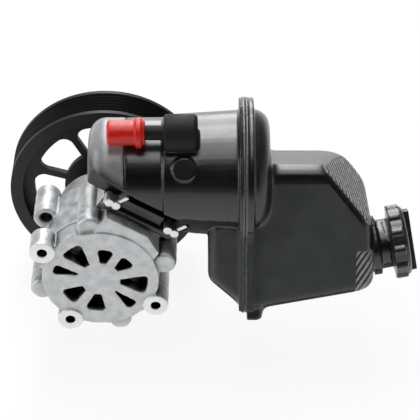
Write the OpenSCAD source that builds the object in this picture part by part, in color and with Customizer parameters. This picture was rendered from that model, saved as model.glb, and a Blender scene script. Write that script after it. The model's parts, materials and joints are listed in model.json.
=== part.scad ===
// Vane pump for power steering, with its belt pulley and a clipped-on plastic fluid tank.
// The shaft runs along Y with the pulley at +Y; the origin is on the shaft in the belt plane.
// The pump is drawn in its own frame: X across, Y towards the tank, Z back from the belt plane.

/* [Layout] */
// Lean of the pump about its shaft, clockwise as the cover is seen
pump_lean = 31.6; // [25:0.1:38]
// Tip of the tank towards the pulley
tank_tip = 24; // [20:1:28]
// Distance from the belt plane back to the tank axis
tank_back = 67; // [64:1:70]
// Height of the tank axis above the shaft
tank_rise = 57; // [55:0.5:60]

/* [Pulley] */
// Outside diameter of the pulley
pulley_d = 140; // [134:1:146]
// Width of the rim
rim_w = 28; // [26:1:30]
// Thickness of the rim outside the dish
rim_t = 9; // [7:0.5:10]
// Number of belt grooves
groove_count = 6; // [4:1:6]
// Pitch of the belt grooves
groove_pitch = 3.56; // [3:0.01:3.7]
// Depth of the belt grooves
groove_depth = 3; // [2:0.1:3.5]
// Thickness of the web
web_t = 4.5; // [3:0.5:6]
// Web's rear face behind the belt plane
web_behind = 7; // [2:0.5:9]
// Number of windows in the web
window_count = 8; // [6:1:9]
// Angle of the first window from the right, anticlockwise as the cover is seen
window_start = 140.5; // [0:0.5:360]
// Inner radius of the windows
window_in = 31; // [26:1:34]
// Outer radius of the windows
window_out = 53; // [50:1:57]
// Width of the spokes between the windows
spoke_w = 5; // [4:0.5:8]
// Diameter of the hub
hub_d = 34; // [28:1:40]
// Hub's reach behind the belt plane
hub_behind = 13; // [8:1:15]

/* [Shaft] */
// Shaft diameter
shaft_d = 17.5; // [16:0.5:19]
// Shaft's reach ahead of the belt plane, and behind it for the puller thread
shaft_ahead = 13; // [10:1:14]
// Minor diameter of the puller thread in the shaft end
puller_d = 8.5; // [6.8:0.1:10.2]
// Depth of each drive flat on the shaft
drive_flat = 1.2; // [0.8:0.1:1.8]

/* [Bearing and seal] */
// Outside diameter of the ball bearing
bearing_od = 40; // [38:1:42]
// Width of the ball bearing
bearing_w = 12; // [11:1:13]
// Diameter of each ball
ball_d = 6.8; // [6:0.2:7.2]
// Number of balls
ball_count = 8; // [6:1:9]
// Thickness of the circlips
circlip_t = 1.4; // [1:0.1:1.6]
// Outside diameter of the shaft seal
seal_od = 30; // [27:1:32]
// Width of the shaft seal
seal_w = 8; // [6:1:9]

/* [Pump housing] */
// Diameter of the main barrel
barrel_d = 82; // [80:1:86]
// Diameter of the waist behind the nose
waist_d = 68; // [64:1:70]
// Diameter of the bearing nose
nose_d = 50; // [48:1:54]
// Nose face behind the belt plane
nose_at = 20; // [18:1:22]
// Waist face behind the belt plane
waist_at = 34; // [32:1:36]
// Barrel face behind the belt plane
barrel_at = 56; // [55:1:57]
// Floor of the chamber behind the belt plane
chamber_at = 58.5; // [58.5:0.5:60]
// Diameter of the chamber
chamber_d = 66; // [64:0.5:67]
// Joint between housing and cover behind the belt plane
joint_at = 96; // [96:0.5:98]

/* [Mounting bosses and lugs] */
// Radius of the left mounting boss's axis from the shaft
left_boss_circle = 45; // [44:0.5:46]
// Radius of the right mounting boss's axis from the shaft
right_boss_circle = 44; // [43.5:0.5:46]
// Radius of the lower mounting boss's axis from the shaft
lower_boss_circle = 42; // [41.5:0.5:44]
// Outside diameter of the tubular mounting bosses
boss_d = 17.5; // [15:0.5:18]
// Bore through the tubular mounting bosses
boss_bore = 8.5; // [8:0.1:9]
// Front face of the bosses behind the belt plane
boss_at = 47; // [44:1:50]
// Rear face of the left and lower bosses behind the belt plane
boss_end = 75; // [70:1:80]
// Minor diameter of the thread in the cover ears
ear_thread = 6.8; // [5:0.1:7]
// Front face of the lugs behind the belt plane
lug_at = 65; // [64:0.5:67]
// Diameter of the cover bolts
bolt_d = 6; // [5:0.5:6]
// Head height of the cover bolts
bolt_head_h = 5; // [4:0.5:6]
// Head width across flats of the cover bolts
bolt_head_w = 10; // [9:0.5:11]
// Length of the cover bolts under the head
bolt_len = 40; // [38:0.5:42]

/* [Rear cover] */
// Thickness of the cover outside the joint
cover_t = 16; // [15:0.5:18]
// Length of the cover's spigot in the chamber
spigot_len = 4.5; // [4:0.1:4.5]
// Diameter of the cover's round edge
cover_d = 80; // [78:1:82]
// Height of the ear rings above the cover's face
ear_proud = 1.2; // [0.6:0.1:2]
// Depth of the star's pockets
pocket_depth = 9.5; // [6:0.5:10]
// Width of the star's ribs
star_rib = 6; // [5:0.5:7]
// Diameter of the solid middle of the star
star_hub = 28; // [26:1:30]
// Drop of the cover's saddle pad below the star's face
pad_sunk = 0.8; // [0.4:0.2:3]
// Reach of the pad's full height beyond the shaft's middle plane
pad_flat = 9; // [6:1:12]
// Height of the pad's cut corner above the shaft
pad_corner = 40; // [36:1:44]

/* [Pump cartridge] */
// Thickness of the front and rear plates
plate_t = 6; // [5:0.5:6]
// Width of the cam ring
cam_w = 18; // [16:0.5:18]
// Smallest radius of the cam
cam_minor = 22.2; // [21:0.1:23]
// Rise of the cam above its smallest radius
cam_rise = 3.5; // [2.5:0.1:4]
// Thickness of a vane
vane_t = 1.8; // [1.4:0.1:2.2]
// Radial length of a vane
vane_h = 8.4; // [7:0.1:9]
// Diameter of the dowel pins
dowel_d = 5; // [4:0.2:5]
// Thickness of the plate spring
spring_t = 0.9; // [0.6:0.1:1.2]

/* [Flow control valve] */
// Depth of the valve axis below the shaft
valve_drop = 26; // [26:0.5:27]
// Valve axis behind the belt plane
valve_at = 45; // [44:0.5:46]
// Diameter of the valve bore
valve_d = 16; // [14:0.5:16]
// Wall round the valve bore
valve_wall = 4.5; // [4:0.5:5]
// Reach of the valve boss to each side
valve_reach = 24; // [23:0.5:25]
// Depth of the plug and the fitting in the boss
valve_seat = 9; // [8:0.5:10]
// Length of the spool
spool_len = 15; // [13:0.5:16]
// Width across flats of the outlet fitting
fitting_w = 20; // [18:0.5:20]
// Reach of the outlet fitting outside the boss
fitting_out = 16; // [15:0.5:18]
// Minor diameter of the hose thread in the fitting
port_d = 14.4; // [12:0.1:14.5]
// Depth of the hose thread in the fitting
port_depth = 12; // [9:0.5:13]

/* [Saddle and clips] */
// Height of the saddle face above the shaft
saddle_h = 48.5; // [48.5:0.5:50]
// Width of the saddle's rail
saddle_w = 54; // [52:1:56]
// Thickness of the saddle's rail
rail_t = 4.5; // [4:0.1:4.7]
// Overhang of the rail on each side
rail_over = 4; // [3:0.5:5]
// Front end of the saddle behind the belt plane
saddle_at = 46; // [44:1:50]
// Rear end of the rail and of the tank's foot behind the belt plane
saddle_end = 104; // [102:1:106]
// Thickness of the tank's foot flange
foot_t = 4.5; // [4:0.1:5]
// Sheet thickness of the clips
clip_t = 1.2; // [0.8:0.1:1.5]
// Length of the clip's lips over the rail
clip_lip = 9; // [7:0.5:10]
// Diameter of the rolls at the clip's rear end
clip_roll = 6; // [5:0.2:6.4]
// Length of the clip's release tab
clip_tab = 8; // [6:0.5:8]
// Bore of the suction port
suction_d = 16; // [12:0.5:17]
// Outside diameter of the suction spigot
suction_spigot = 23.6; // [22:0.2:24]
// Length of the suction spigot
suction_len = 7; // [6:0.5:7.5]

/* [Tank] */
// Wall of the tank
wall = 3; // [2.5:0.1:3.5]
// Radius of the small drum at its closed end
drum_r = 38; // [36:0.5:39]
// Closed end of the small drum, from the shaft's middle plane
drum_end = -7; // [-9:0.5:-5]
// Step from the small drum to the big one
drum_step = 45; // [43:0.5:48]
// Radius of the big drum at the step
big_r = 40; // [39.5:0.5:41]
// Radius of the big drum at the seam
seam_r = 43.5; // [43:0.5:45]
// Diameter of the round pad on the big drum's front
pad_d = 16; // [14:0.5:18]
// Turn of that pad up the drum's front
pad_turn = 16; // [8:1:18]
// Rounding of the drum's closed end
drum_round = 12; // [8:0.5:14]
// Seam between the tank halves, from the shaft's middle plane
seam_at = 98.5; // [96:0.5:101]
// Radius of the seam flange
flange_r = 51.5; // [50:0.5:53]
// Thickness of the pump-side flange
flange_thin = 2.5; // [2:0.1:3]
// Thickness of the filler-side flange
flange_thick = 4.5; // [3.5:0.1:5]
// Half width of the weld flash between the flanges
flash_half = 1.5; // [1:0.1:2]
// Height of the weld flash above the flanges
flash_proud = 0.6; // [0.4:0.1:1]
// Shoulder beside the filler-side flange
shoulder_len = 17; // [15:0.5:18]
// Rounding of the shoulder
shoulder_round = 11; // [8:0.5:12]
// Half depth of the box
box_half = 30; // [28:0.5:32]
// Chamfer along the box's front and back edges
box_edge = 5; // [3:0.5:6]
// Height of the box's top above the tank axis
box_top = 11; // [9:0.5:13]
// Width of the box beyond the seam
box_w = 85; // [82:0.5:88]
// Depth of the box's floor below the tank axis at the seam
box_drop = 92; // [88:0.5:94]
// Rise of the box's floor from the seam to the far end
floor_rise = 10.5; // [8:0.5:14]
// Rounding of the box's upper outer corner
box_round = 31; // [28:0.5:33]
// Reach of the lower box on the pump side of the seam
box_back = 25; // [23:0.5:26]
// Depth below the tank axis of the lower box's bottom corner
heel_drop = 76; // [74:0.5:78]
// Cut of the slanted face into the box's front edge
slant_cut = 13; // [10:0.5:14]
// Height of the drain nub under the flange
nub_h = 5; // [4:0.5:8]

/* [Filler] */
// Depth of the filler neck below the tank axis
neck_drop = 52; // [50:0.5:53]
// Lean of the filler neck above level
neck_lean = 10; // [7:0.5:12]
// Bore of the filler neck
neck_bore = 28; // [26:0.5:29]
// Wall of the filler neck
neck_wall = 3; // [2.5:0.1:3.5]
// Length of the filler neck
neck_len = 16; // [15:0.5:18]
// Diameter of the collar on the neck
collar_d = 41; // [38:0.5:43]
// Thickness of the collar
collar_t = 5.5; // [4:0.5:6]
// Diameter of the filler cap
cap_d = 52; // [48:0.5:54]
// Thickness of the filler cap
cap_t = 11; // [9:0.5:13]
// Number of grips round the cap
grip_count = 12; // [8:1:16]
// Thickness of the cap's gasket
gasket_t = 1.5; // [1:0.1:2]
// Length of the dipstick below the cap's plug
dipstick_len = 76; // [60:1:78]
// Width of the dipstick
dipstick_w = 5; // [4:0.5:6]

/* [Return nipple] */
// Height of the nipple above the tank axis
nipple_up = 35; // [34:0.5:36]
// Distance of the nipple in front of the tank axis
nipple_out = 35; // [34:0.5:37]
// Diameter of the nipple's boss
nipple_boss = 25; // [24:0.5:28]
// Length of the nipple's boss
nipple_boss_len = 22; // [20:0.5:24]
// Diameter of the nipple
nipple_d = 10; // [8:0.5:11]
// Bore of the nipple
nipple_bore = 6; // [4:0.5:7]
// Length of the nipple outside its boss
nipple_len = 34; // [32:0.5:36]
// Diameter of the shipping cap
ship_d = 17; // [15:0.5:18]
// Diameter of the shipping cap's flange
ship_flange = 20.5; // [19.5:0.5:24]
// Length of the shipping cap
ship_len = 25; // [22:0.5:27]

/* [Hidden] */
$fn = 96;
hull_fn = 32;
// Clearances: pressed pieces, running fits, sheet metal and pieces that slip on by hand
press_gap = 0.01;
run_gap = 0.03;
sheet_gap = 0.1;
slip_gap = 0.3;
through = 1;

shaft_r = shaft_d / 2;
bearing_at = nose_at + circlip_t + 2.4;
bearing_end = bearing_at + bearing_w;
seal_end = bearing_end + seal_w + 1;
ball_pitch = (bearing_od / 2 + shaft_r) / 2;
race_gap = ball_d * 0.3;
cam_at = chamber_at + plate_t;
rear_plate_at = cam_at + cam_w;
rear_plate_end = rear_plate_at + plate_t;
spigot_at = joint_at - spigot_len;
cover_at = joint_at + cover_t;
bush_depth = 10;
bush_wall = 2.2;
shaft_end = spigot_at + bush_depth - 1;
rotor_r = cam_minor - 0.15;
vane_count = 10;
vane_gap = 0.02;
slot_in = rotor_r - vane_h - 1.1;
ring_r = chamber_d / 2 - 0.3;
dowel_circle = (cam_minor + ring_r) / 2;
cartridge_circlip_at = rear_plate_at + 0.3;
o_ring = 2.2;
lug_hole = bolt_d + 0.6;
bore_relief = 1;
head_notch = bolt_head_w + 3;
lug_end = lug_at + bolt_len + 5;

valve_thread = valve_d + 2;
valve_from = -valve_reach + valve_seat;
valve_to = valve_reach - valve_seat;
spool_rest = 0.2;

saddle_in = saddle_w / 2 - rail_over;
suction_at = (cam_at + rear_plate_at) / 2;
foot_h = saddle_h + foot_t;
foot_in = saddle_in - clip_t - 6;
drum_up = foot_t + clip_t + 0.8;
relief_at = 94;
relief_up = foot_t + 14;
relief_x = saddle_w / 2 + 4;
clip_x = saddle_w / 2 + sheet_gap;

flange_from = seam_at - flash_half - flange_thin;
flange_to = seam_at + flash_half + flange_thick;
flange_half = box_half + 3;
flange_drop = box_drop - 3;
box_far = seam_at + box_w;
slant = atan(slant_cut / (2 * box_half));
slant_turn = 39;
neck_x = box_far - 1;
collar_at = 3;
cap_at = neck_len + gasket_t;
plug_len = 10;
cap_core = neck_bore / 2 - slip_gap;
dip_seat = 5;
nipple_root = drum_step;
ship_floor = 4;

pump_nodes = ["pump_housing", "rear_cover", "cover_bolts", "cover_o_ring", "cam_ring", "front_plate",
    "rear_plate", "dowel_pins", "plate_spring", "bearing_outer_ring", "bearing_circlip", "shaft_seal",
    "rear_bush", "outlet_fitting", "fitting_o_ring", "valve_plug", "valve_spring", "valve_spool"];
drive_nodes = ["pulley", "drive_shaft", "rotor", "rotor_circlip", "bearing_inner_ring", "bearing_balls",
    "bearing_cage"];
vane_nodes = [for (i = [1:vane_count]) str("vane_", i)];
tank_nodes = ["tank_pump_half", "tank_filler_half", "tank_seal", "clip_left", "clip_right",
    "suction_strainer", "filler_cap", "cap_gasket", "dipstick", "shipping_cap"];

// Frames

// Pump frame: X across the saddle, Y towards it, Z back from the belt plane along the shaft
module pump_frame() {
    rotate([90, 0, 0]) rotate([0, 0, -pump_lean]) children();
}

// Tank frame: X along the tank axis, Y up its front face, Z out of its front face
module tank_frame() {
    translate([0, -tank_back, tank_rise]) rotate([90 - tank_tip, 0, 0]) children();
}

// Tank axis frame: Z along the tank axis
module tank_axis() {
    tank_frame() rotate([0, 90, 0]) children();
}

// Neck frame: Z out along the filler neck, from the box's far wall
module neck_frame() {
    tank_frame() translate([neck_x, -neck_drop, 0]) rotate([0, 90, 0]) rotate([-neck_lean, 0, 0])
        children();
}

// Nipple frame: Z along the nipple, from its boss to its tip
module nipple_frame() {
    tank_frame() translate([nipple_root, nipple_up, nipple_out]) rotate([0, -90, 0]) children();
}

// Valve frame: Z along the flow control valve, towards the outlet
module valve_frame() {
    pump_frame() translate([0, -valve_drop, valve_at]) rotate([0, 90, 0]) children();
}

// Suction frame: Z from the saddle towards the tank, on the suction port's axis
module suction_frame() {
    pump_frame() translate([0, saddle_h, suction_at]) rotate([-90, 0, 0]) children();
}

// Shared shapes

module tube(r_out, r_in, from, to) {
    translate([0, 0, from]) difference() {
        cylinder(r = r_out, h = to - from);
        translate([0, 0, -through]) cylinder(r = r_in, h = to - from + 2 * through);
    }
}

module rod(r, from, to) {
    translate([0, 0, from]) cylinder(r = r, h = to - from);
}

module torus(ring, section) {
    rotate_extrude() translate([ring, 0]) circle(r = section, $fn = 48);
}

// Disc with a rounded rim on its far face
module round_disc(r, h, round) {
    rotate_extrude() {
        square([r - round, h]);
        square([r, h - round]);
        translate([r - round, h - round]) intersection() {
            circle(r = round);
            square(round);
        }
    }
}

// Open ring with a gap, as a circlip has
module circlip(r_out, r_in, from) {
    difference() {
        tube(r_out, r_in, from, from + circlip_t);
        translate([0, -1.5, from - through]) cube([r_out + through, 3, circlip_t + 2 * through]);
    }
}

// Mounting bosses: angle from the saddle, radius of the axis and rear face
bosses = [[90, left_boss_circle, boss_end], [180, lower_boss_circle, boss_end],
    [270, right_boss_circle, joint_at + 2]];

module at_bosses() {
    for (b = bosses) rotate(b[0]) translate([0, b[1], 0]) children();
}

// Lugs of the cover bolts: angle from the saddle, radius of the axis and diameter
lugs = [[39, 41.5, 19], [-43.5, 45, 17.5], [137, 41.5, 17], [-131, 41.5, 15.5]];

module at_lugs() {
    for (l = lugs) rotate(l[0]) translate([0, l[1], 0]) children();
}

// Saddle block with its rail, on the housing
module saddle_block() {
    length = joint_at + 4 - saddle_at;
    translate([-saddle_in, 0, saddle_at]) cube([2 * saddle_in, saddle_h, length]);
    translate([-saddle_w / 2, saddle_h - rail_t, saddle_at]) cube([saddle_w, rail_t, length]);
}

// Stock that milling takes off at the joint face, from one depth to another
module joint_stock(from, to) {
    translate([-pulley_d, -pulley_d, from]) cube([2 * pulley_d, 2 * pulley_d, to - from]);
}

// Pump housing and cover

module pump_housing() {
    color("lightgray") pump_frame() difference() {
        union() {
            rod(nose_d / 2, nose_at, waist_at);
            rod(waist_d / 2, waist_at, barrel_at);
            rod(barrel_d / 2, barrel_at, joint_at + 1);
            for (b = bosses) rotate(b[0]) translate([0, b[1], 0]) rod(boss_d / 2, boss_at, b[2]);
            for (l = lugs) rotate(l[0]) translate([0, l[1], 0]) rod(l[2] / 2, lug_at, joint_at + 3);
            saddle_block();
            translate([-valve_reach, -valve_drop, valve_at]) rotate([0, 90, 0])
                cylinder(d = valve_d + 2 * valve_wall, h = 2 * valve_reach);
        }
        joint_stock(joint_at, joint_at + 10);
        rod(bearing_od / 2 + press_gap, nose_at - through, bearing_end);
        translate([0, 0, nose_at + 2.2]) cylinder(d = bearing_od + 2.4, h = circlip_t + 0.2);
        rod(seal_od / 2 + press_gap, nose_at, seal_end);
        rod(shaft_r + 1.2, nose_at, joint_at);
        rod(chamber_d / 2, chamber_at, joint_at + through);
        rod(chamber_d / 2 + 1.5, suction_at - 5, suction_at + 5);
        for (b = bosses) rotate(b[0]) translate([0, b[1], 0]) {
            rod(boss_bore / 2, boss_at, b[2]);
            rod(boss_bore / 2 + bore_relief, nose_at, boss_at + bore_relief);
            if (b[2] < joint_at) rod(boss_bore / 2 + bore_relief, b[2] - bore_relief, joint_at + through);
        }
        at_lugs() rod(lug_hole / 2, lug_at - through, joint_at + through);
        at_lugs() rod(head_notch / 2, waist_at - through, lug_at);
        translate([-valve_reach - through, -valve_drop, valve_at]) rotate([0, 90, 0])
            cylinder(d = valve_d, h = 2 * (valve_reach + through));
        for (side = [-1, 1]) translate([side * valve_reach, -valve_drop, valve_at])
            rotate([0, -90 * side, 0]) {
                rod(valve_thread / 2, -through, valve_seat);
                rod(fitting_w / 2 / cos(30) + 0.7, -12, 0);
            }
        translate([5, -valve_drop, valve_at]) cylinder(d = 5, h = chamber_at - valve_at + through);
        translate([0, saddle_h, suction_at]) rotate([90, 0, 0]) {
            rod(suction_spigot / 2 + 0.2, -through, suction_len + 0.5);
            rod(suction_d / 2, 0, saddle_h - chamber_d / 2 + 2);
        }
    }
}

// Pockets of the star on one side: angle from the saddle, outer radius and half angle
pockets = [[21, 25.5, 20], [68, 32.5, 20], [106, 32.5, 13], [157, 28.5, 21]];

// One pocket: a sector between two ribs of even width, with round outer corners
module pocket(angle, outer, half) {
    corner = 2.5;
    depth = pocket_depth + through;
    apex = star_rib / 2 / sin(half);
    inner_apex = (star_rib / 2 + corner) / sin(half);
    corner_r = outer - corner;
    corner_a = half - asin((star_rib / 2 + corner) / corner_r);
    rotate(angle + 90) {
        intersection() {
            tube(corner_r, star_hub / 2, 0, depth);
            linear_extrude(depth) polygon([[apex, 0], [apex + 40, -40 * tan(half)],
                [apex + 40, 40 * tan(half)]]);
        }
        intersection() {
            tube(outer, star_hub / 2, 0, depth);
            linear_extrude(depth) polygon([[inner_apex, 0], [inner_apex + 40, -40 * tan(half)],
                [inner_apex + 40, 40 * tan(half)]]);
        }
        for (side = [-1, 1]) rotate(side * corner_a) translate([corner_r, 0, 0])
            cylinder(r = corner, h = depth);
    }
}

// Cover as cast, with stock on its joint face
module cover_casting() {
    rod(cover_d / 2, joint_at - 1, cover_at);
    for (b = bosses) rotate(b[0]) {
        translate([0, b[1], 0]) rod(boss_d / 2, joint_at - 2, cover_at + ear_proud);
        translate([-boss_d / 2 + 1, 0, joint_at - 3]) cube([boss_d - 2, b[1], cover_t + 1]);
    }
    for (l = lugs) rotate(l[0]) translate([0, l[1], joint_at - 4])
        round_disc(l[2] / 2, lug_end - joint_at + 4, 3);
    translate([0, 0, joint_at - 5]) linear_extrude(cover_t - pad_sunk + 5) polygon([[-saddle_in, 0],
        [-saddle_in, saddle_h], [pad_flat, saddle_h], [saddle_in, pad_corner], [saddle_in, 0]]);
}

module rear_cover() {
    color("lightgray") pump_frame() difference() {
        union() {
            difference() {
                cover_casting();
                joint_stock(joint_at - 10, joint_at);
            }
            rod(chamber_d / 2 - press_gap, spigot_at, joint_at + 1);
        }
        for (k = pockets, side = [0, 1]) mirror([side, 0, 0]) translate([0, 0, cover_at - pocket_depth])
            pocket(k[0], k[1], k[2]);
        rod(shaft_r + bush_wall + press_gap, spigot_at - through, spigot_at + bush_depth);
        translate([0, 0, spigot_at + spigot_len / 2]) tube(chamber_d / 2 + through,
            chamber_d / 2 - o_ring + 0.2, -o_ring / 2, o_ring / 2);
        at_bosses() rod(ear_thread / 2, joint_at - through, cover_at + ear_proud + through);
        at_lugs() rod(bolt_d / 2 + press_gap, joint_at - through, lug_at + bolt_len + 0.5);
    }
}

module cover_bolts() {
    color("silver") pump_frame() at_lugs() {
        rod(bolt_d / 2, lug_at - 1, lug_at + bolt_len);
        translate([0, 0, lug_at - 1.5]) cylinder(d = bolt_head_w + 2, h = 1.5);
        translate([0, 0, lug_at - bolt_head_h])
            cylinder(d = bolt_head_w / cos(30), h = bolt_head_h, $fn = 6);
    }
}

module cover_o_ring() {
    color("black") pump_frame() translate([0, 0, spigot_at + spigot_len / 2])
        tube(chamber_d / 2 - 0.05, chamber_d / 2 - o_ring + 0.25, -o_ring / 2 + 0.1, o_ring / 2 - 0.1);
}

// Pump cartridge

function cam_radius(angle) = cam_minor + cam_rise * (1 - cos(2 * angle)) / 2;

module at_dowels() {
    for (side = [-1, 1]) translate([side * dowel_circle, 0, 0]) children();
}

module cam_ring() {
    color("dimgray") pump_frame() difference() {
        rod(ring_r, cam_at, rear_plate_at);
        translate([0, 0, cam_at - through]) linear_extrude(cam_w + 2 * through)
            polygon([for (a = [0:3:357]) cam_radius(a) * [cos(a), sin(a)]]);
        at_dowels() rod(dowel_d / 2 + press_gap, cam_at - through, rear_plate_at + through);
    }
}

// Plate with dowel holes, a shaft hole and a row of ports behind each side of the cam
module port_plate(from, hole) {
    difference() {
        rod(ring_r, from, from + plate_t);
        rod(hole, from - through, from + plate_t + through);
        at_dowels() rod(dowel_d / 2 + press_gap, from - through, from + plate_t + through);
        for (a = [30:15:75], side = [0, 180], flip = [0, 1]) mirror([flip, 0, 0]) rotate(a + side)
            translate([cam_minor, 0, from - through]) cylinder(d = 4, h = plate_t + 2 * through);
    }
}

module front_plate() {
    color("gray") pump_frame() port_plate(chamber_at, shaft_r + 1.2);
}

module rear_plate() {
    color("gray") pump_frame() port_plate(rear_plate_at, shaft_r + 3.5);
}

module dowel_pins() {
    color("silver") pump_frame() at_dowels() rod(dowel_d / 2, chamber_at, rear_plate_end);
}

// Coned ring that presses the rear plate on the cam ring
module plate_spring() {
    gap = spigot_at - rear_plate_end;
    inner = 1.7 * shaft_r;
    outer = chamber_d / 2 - 6;
    land = 2 * spring_t;
    color("silver") pump_frame() translate([0, 0, rear_plate_end]) rotate_extrude()
        polygon([[inner, 0], [inner + land, 0], [outer, gap - spring_t], [outer, gap],
            [outer - land, gap], [inner, spring_t]]);
}

module rotor() {
    color("gray") pump_frame() difference() {
        rod(rotor_r, cam_at + run_gap, rear_plate_at - run_gap);
        intersection() {
            rod(shaft_r + press_gap, cam_at, rear_plate_at);
            translate([-shaft_d, -shaft_r + drive_flat - press_gap, cam_at])
                cube([2 * shaft_d, shaft_d - 2 * drive_flat + 2 * press_gap, cam_w]);
        }
        for (i = [1:vane_count]) rotate(vane_angle(i)) {
            translate([slot_in, -vane_t / 2 - vane_gap, cam_at])
                cube([vane_h + 4, vane_t + 2 * vane_gap, cam_w]);
            translate([slot_in, 0, cam_at]) cylinder(d = 3, h = cam_w);
        }
    }
}

// Vanes stand half a pitch off the cam's short axis
function vane_angle(i) = (i - 0.5) * 360 / vane_count;

module vane(i) {
    color("silver") pump_frame() rotate(vane_angle(i))
        translate([rotor_r - vane_h - 0.05, -vane_t / 2, cam_at + run_gap])
            cube([vane_h, vane_t, cam_w - 2 * run_gap]);
}

module rotor_circlip() {
    color("silver") pump_frame() circlip(shaft_r + 2.2, shaft_r - 0.7, cartridge_circlip_at);
}

// Shaft, bearing and seal

module drive_shaft() {
    color("silver") pump_frame() difference() {
        rod(shaft_r, -shaft_ahead, shaft_end);
        rod(puller_d / 2, -shaft_ahead - through, shaft_ahead);
        for (side = [0, 1]) mirror([0, side, 0]) translate([-shaft_d, shaft_r - drive_flat, cam_at])
            cube([2 * shaft_d, drive_flat + through, cam_w]);
        tube(shaft_r + through, shaft_r - 0.75, cartridge_circlip_at - 0.1,
            cartridge_circlip_at + circlip_t + 0.1);
    }
}

// Bearing ring between two radii, with the balls' groove
module race(r_out, r_in) {
    pump_frame() difference() {
        tube(r_out, r_in, bearing_at, bearing_end);
        translate([0, 0, (bearing_at + bearing_end) / 2]) torus(ball_pitch, ball_d / 2 + run_gap);
    }
}

module bearing_outer_ring() {
    color("silver") race(bearing_od / 2, ball_pitch + race_gap);
}

module bearing_inner_ring() {
    color("silver") race(ball_pitch - race_gap, shaft_r + press_gap);
}

module at_balls() {
    for (i = [1:ball_count]) rotate(i * 360 / ball_count)
        translate([ball_pitch, 0, (bearing_at + bearing_end) / 2]) children();
}

module bearing_balls() {
    color("silver") pump_frame() at_balls() sphere(d = ball_d);
}

module bearing_cage() {
    color("goldenrod") pump_frame() difference() {
        tube(ball_pitch + race_gap / 2, ball_pitch - race_gap / 2, bearing_at + 1, bearing_end - 1);
        at_balls() rotate([0, 90, 0]) cylinder(d = ball_d + 0.2, h = 2 * race_gap, center = true);
    }
}

module bearing_circlip() {
    color("silver") pump_frame() circlip(bearing_od / 2 + 1.1, bearing_od / 2 - 2, nose_at + 2.3);
}

// Lip seal: a steel-cased ring with a thin lip on the shaft
module shaft_seal() {
    color("black") pump_frame() {
        tube(seal_od / 2, seal_od / 2 - 2.5, seal_end - seal_w, seal_end);
        tube(seal_od / 2 - 2.5, shaft_r + 2, seal_end - 2, seal_end);
        tube(shaft_r + 2.01, shaft_r + run_gap, seal_end - 5, seal_end);
    }
}

module rear_bush() {
    color("peru") pump_frame()
        tube(shaft_r + bush_wall, shaft_r + run_gap, spigot_at, spigot_at + bush_depth);
}

// Flow control valve

module outlet_fitting() {
    end = valve_reach + fitting_out;
    color("silver") valve_frame() difference() {
        union() {
            rod(valve_thread / 2 - press_gap, valve_to, valve_reach);
            translate([0, 0, valve_reach + o_ring]) cylinder(d = fitting_w / cos(30), h = 9, $fn = 6);
            rod(fitting_w / 2 - 0.5, valve_reach, end);
        }
        rod(port_d / 2, end - port_depth, end + through);
        rod(2, valve_to - through, end);
        translate([0, 0, valve_reach]) tube(fitting_w, valve_thread / 2 - 1.2, 0, o_ring);
    }
}

module fitting_o_ring() {
    color("black") valve_frame() translate([0, 0, valve_reach])
        tube(valve_thread / 2 + 1, valve_thread / 2 - 1.15, 0.05, o_ring - 0.05);
}

module valve_plug() {
    color("silver") valve_frame() difference() {
        rod(valve_thread / 2 - press_gap, -valve_reach, valve_from);
        translate([0, 0, -valve_reach - through]) cylinder(d = 8, h = 5 + through, $fn = 6);
    }
}

module valve_spool() {
    from = valve_to - spool_rest - spool_len;
    color("gray") valve_frame() difference() {
        rod(valve_d / 2 - run_gap, from, valve_to - spool_rest);
        for (z = [4, 9]) tube(valve_d, valve_d / 2 - 2, from + z, from + z + 2.5);
    }
}

// Coil of square wire between the plug and the spool, drawn as stacked rings with a slight lead
module valve_spring() {
    from = valve_from;
    to = valve_to - spool_rest - spool_len;
    turns = 6;
    steps = 16;
    wire = 1.2;
    coil_r = valve_d / 2 - 1.8;
    lead = (to - from - wire) / turns;
    color("silver") valve_frame() translate([0, 0, from]) coil(coil_r, wire, lead, turns, steps);
}

// Square-wire helix as one closed polyhedron
module coil(r, wire, lead, turns, steps) {
    rings = turns * steps;
    corners = [[-1, 0], [1, 0], [1, 1], [-1, 1]];
    points = [for (i = [0:rings], c = corners)
        [(r + c[0] * wire / 2) * cos(360 * i / steps), (r + c[0] * wire / 2) * sin(360 * i / steps),
            i * lead / steps + c[1] * wire]];
    sides = [for (i = [0:rings - 1], k = [0:3])
        [4 * i + k, 4 * i + 4 + k, 4 * i + 4 + (k + 1) % 4, 4 * i + (k + 1) % 4]];
    polyhedron(points, concat([[0, 1, 2, 3]], sides, [[for (k = [3:-1:0]) 4 * rings + k]]));
}

// Pulley

module pulley() {
    rim_r = pulley_d / 2;
    groove_from = -groove_count * groove_pitch / 2;
    window_angle = 360 / window_count;
    color("#202022") rotate([90, 0, 0]) difference() {
        union() {
            rotate_extrude() difference() {
                translate([rim_r - rim_t, -rim_w / 2]) square([rim_t, rim_w]);
                for (i = [0:groove_count - 1]) translate([rim_r, groove_from + (i + 0.5) * groove_pitch])
                    polygon([[-groove_depth - 1, -0.3], [-groove_depth - 1, 0.3],
                        [-1, groove_pitch / 2 - 0.3], [0, groove_pitch / 2],
                        [through, groove_pitch / 2], [through, -groove_pitch / 2],
                        [0, -groove_pitch / 2], [-1, -groove_pitch / 2 + 0.3]]);
            }
            rod(rim_r - rim_t + 0.5, web_behind - web_t, web_behind);
            rod(hub_d / 2, -shaft_ahead, hub_behind);
        }
        rod(shaft_r + press_gap, -shaft_ahead - through, hub_behind + through);
        for (i = [0:window_count - 1]) rotate(window_start + i * window_angle) window();
    }
}

// Wedge between two spokes, with a margin beside each
module wedge(margin, depth) {
    half = 180 / window_count;
    apex = (spoke_w / 2 + margin) / sin(half);
    linear_extrude(depth) polygon([[apex, 0], [apex + 2 * window_out, -2 * window_out * tan(half)],
        [apex + 2 * window_out, 2 * window_out * tan(half)]]);
}

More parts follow.
